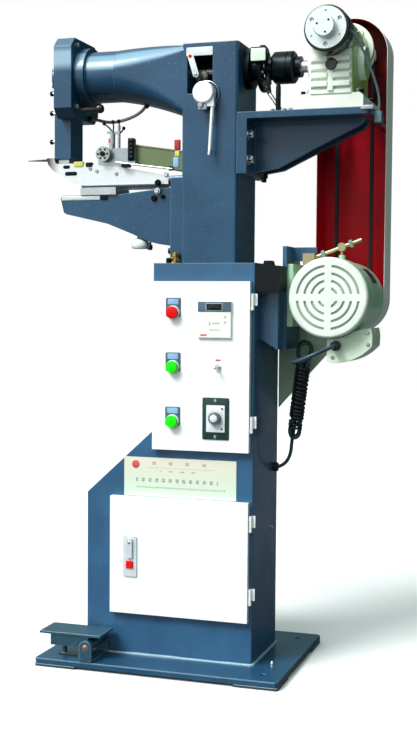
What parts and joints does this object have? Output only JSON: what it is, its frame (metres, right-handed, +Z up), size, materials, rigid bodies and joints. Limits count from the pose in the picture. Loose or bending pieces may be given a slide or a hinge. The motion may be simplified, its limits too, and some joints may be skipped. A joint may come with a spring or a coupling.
{
  "type": "leather sewing machine",
  "caption": "Heavy leather stitching machine on a floor pedestal, with an arm head, a narrow lower arm, a worm gearbox with brake and a guarded belt drive.",
  "frame": {"origin": "centre of the floor bolt pattern, on the floor under the middle of the base plate", "axes": "+X from the needle head towards the motor and belt guard, -Y towards the doors, +Z up"},
  "size_m": [0.81, 0.414, 1.4179],
  "materials": {
    "blue_enamel": "semi-gloss enamel",
    "white_powder": "fine powder coat",
    "cream_paint": "sprayed enamel",
    "green_paint": "hammered enamel",
    "guard_red": "sprayed enamel",
    "ground_steel": "ground",
    "chrome_plate": "polished",
    "black_oxide": "blackened",
    "zinc_steel": "zinc plated",
    "brass": "turned",
    "black_rubber": "moulded",
    "black_plastic": "moulded",
    "grey_plastic": "moulded",
    "red_plastic": "moulded",
    "green_plastic": "moulded",
    "aluminium_plate": "anodised",
    "cable_black": "extruded",
    "cable_blue": "extruded"
  },
  "bodies": {
    "frame": {"base_plate": "blue_enamel", "foot_pads": "black_rubber", "pedestal_shell": "blue_enamel", "column_casting": "blue_enamel", "lower_arm": "blue_enamel", "head_housing": "blue_enamel", "head_cover": "black_oxide", "casting_bolts": "zinc_steel", "feed_horn": "ground_steel", "slide_rail": "ground_steel", "thread_guard": "green_paint", "tension_bracket": "ground_steel", "oil_hose": "black_rubber", "bearing_flange": "black_oxide", "gearbox_housing": "cream_paint", "brake_coil": "black_oxide", "shelf_bracket": "blue_enamel", "belt_guard": "guard_red", "v_belt": "black_rubber", "motor_frame": "green_paint", "fan_cover": "cream_paint", "terminal_box": "cream_paint", "cable_gland": "black_plastic", "motor_bracket": "blue_enamel", "cradle_plate": "green_paint", "tension_rod": "brass", "motor_cable": "cable_blue", "cable_hank": "cable_black", "brake_lead": "cable_blue", "door_hinges": "white_powder", "nameplate": "aluminium_plate", "pedal_bracket": "blue_enamel", "switch_box": "black_plastic", "inverter": "black_plastic"},
    "control_door_body": {"control_door": "white_powder", "panel_bezels": "grey_plastic", "counter_display": "grey_plastic"},
    "stop_button_body": {"stop_button": "red_plastic"},
    "start_button_body": {"start_button": "green_plastic"},
    "jog_button_body": {"jog_button": "green_plastic"},
    "toggle_body": {"toggle_lever": "chrome_plate"},
    "speed_knob_body": {"speed_knob": "grey_plastic"},
    "lower_door_body": {"lower_door": "white_powder", "latch_body": "zinc_steel"},
    "latch_handle_body": {"latch_handle": "zinc_steel"},
    "latch_button_body": {"latch_button": "red_plastic"},
    "pedal_body": {"pedal": "blue_enamel"},
    "lever_body": {"lift_lever": "chrome_plate"},
    "needle_body": {"needle_bar": "chrome_plate", "needle": "chrome_plate"},
    "presser_body": {"presser_foot": "black_oxide"},
    "tension_body": {"tension_wheel": "ground_steel"},
    "main_body": {"main_shaft": "ground_steel", "coupling": "black_oxide", "worm_wheel": "brass"},
    "worm_body": {"worm_shaft": "ground_steel", "brake_disc": "ground_steel", "driven_pulley": "zinc_steel"},
    "motor_body": {"motor_rotor": "ground_steel", "motor_pulley": "zinc_steel"}
  },
  "joints": [
    {"name": "control_door_hinge", "type": "hinge", "parent": "frame", "child": "control_door_body", "pos_m": [0.186, -0.105, 0.653], "axis": [0, 0, 1], "range_deg": [0, 105]},
    {"name": "lower_door_hinge", "type": "hinge", "parent": "frame", "child": "lower_door_body", "pos_m": [0.186, -0.105, 0.239], "axis": [0, 0, 1], "range_deg": [0, 105]},
    {"name": "stop_button_press", "type": "slide", "parent": "control_door_body", "child": "stop_button_body", "axis": [0, 1, 0], "range_m": [0, 0.003], "stiffness_N_per_m": 500, "springref_m": -0.002},
    {"name": "start_button_press", "type": "slide", "parent": "control_door_body", "child": "start_button_body", "axis": [0, 1, 0], "range_m": [0, 0.003], "stiffness_N_per_m": 500, "springref_m": -0.002},
    {"name": "jog_button_press", "type": "slide", "parent": "control_door_body", "child": "jog_button_body", "axis": [0, 1, 0], "range_m": [0, 0.003], "stiffness_N_per_m": 500, "springref_m": -0.002},
    {"name": "toggle_flip", "type": "hinge", "parent": "control_door_body", "child": "toggle_body", "pos_m": [0.113, -0.112, 0.652], "axis": [1, 0, 0], "range_deg": [-12, 12]},
    {"name": "speed_knob_turn", "type": "hinge", "parent": "control_door_body", "child": "speed_knob_body", "pos_m": [0.109, -0.112, 0.545], "axis": [0, 1, 0], "range_deg": [-135, 135]},
    {"name": "latch_handle_turn", "type": "hinge", "parent": "lower_door_body", "child": "latch_handle_body", "pos_m": [-0.0835, -0.112, 0.268], "axis": [0, 1, 0], "range_deg": [0, 90]},
    {"name": "latch_button_press", "type": "slide", "parent": "lower_door_body", "child": "latch_button_body", "axis": [0, 1, 0], "range_m": [0, 0.002], "stiffness_N_per_m": 500, "springref_m": -0.002},
    {"name": "pedal_press", "type": "hinge", "parent": "frame", "child": "pedal_body", "pos_m": [-0.153, -0.147, 0.05], "axis": [0, -1, 0], "range_deg": [0, 10], "stiffness_Nm_per_rad": 4, "springref_deg": -11.46},
    {"name": "lift_lever_turn", "type": "hinge", "parent": "frame", "child": "lever_body", "pos_m": [0.072, -0.082, 1.229], "axis": [0, 1, 0], "range_deg": [0, 60]},
    {"name": "presser_lift", "type": "slide", "parent": "frame", "child": "presser_body", "axis": [0, 0, 1], "range_m": [0, 0.0122]},
    {"name": "needle_drive", "type": "slide", "parent": "frame", "child": "needle_body", "axis": [0, 0, 1], "range_m": [-0.03, 0]},
    {"name": "tension_wheel_spin", "type": "hinge", "parent": "frame", "child": "tension_body", "pos_m": [-0.179, -0.04, 1.115], "axis": [0, 1, 0], "continuous": true},
    {"name": "motor_spin", "type": "hinge", "parent": "frame", "child": "motor_body", "pos_m": [0.34, 0, 0.8], "axis": [0, 1, 0], "continuous": true},
    {"name": "worm_spin", "type": "hinge", "parent": "frame", "child": "worm_body", "pos_m": [0.34, 0, 1.34], "axis": [0, 1, 0], "continuous": true},
    {"name": "main_spin", "type": "hinge", "parent": "frame", "child": "main_body", "pos_m": [0, 0, 1.29], "axis": [1, 0, 0], "continuous": true}
  ],
  "couplings": [
    {"joint": "presser_lift", "follows": "lift_lever_turn", "m_per_rad": 0.011459},
    {"joint": "worm_spin", "follows": "motor_spin", "ratio": 1},
    {"joint": "main_spin", "follows": "motor_spin", "ratio": 0.033333}
  ]
}
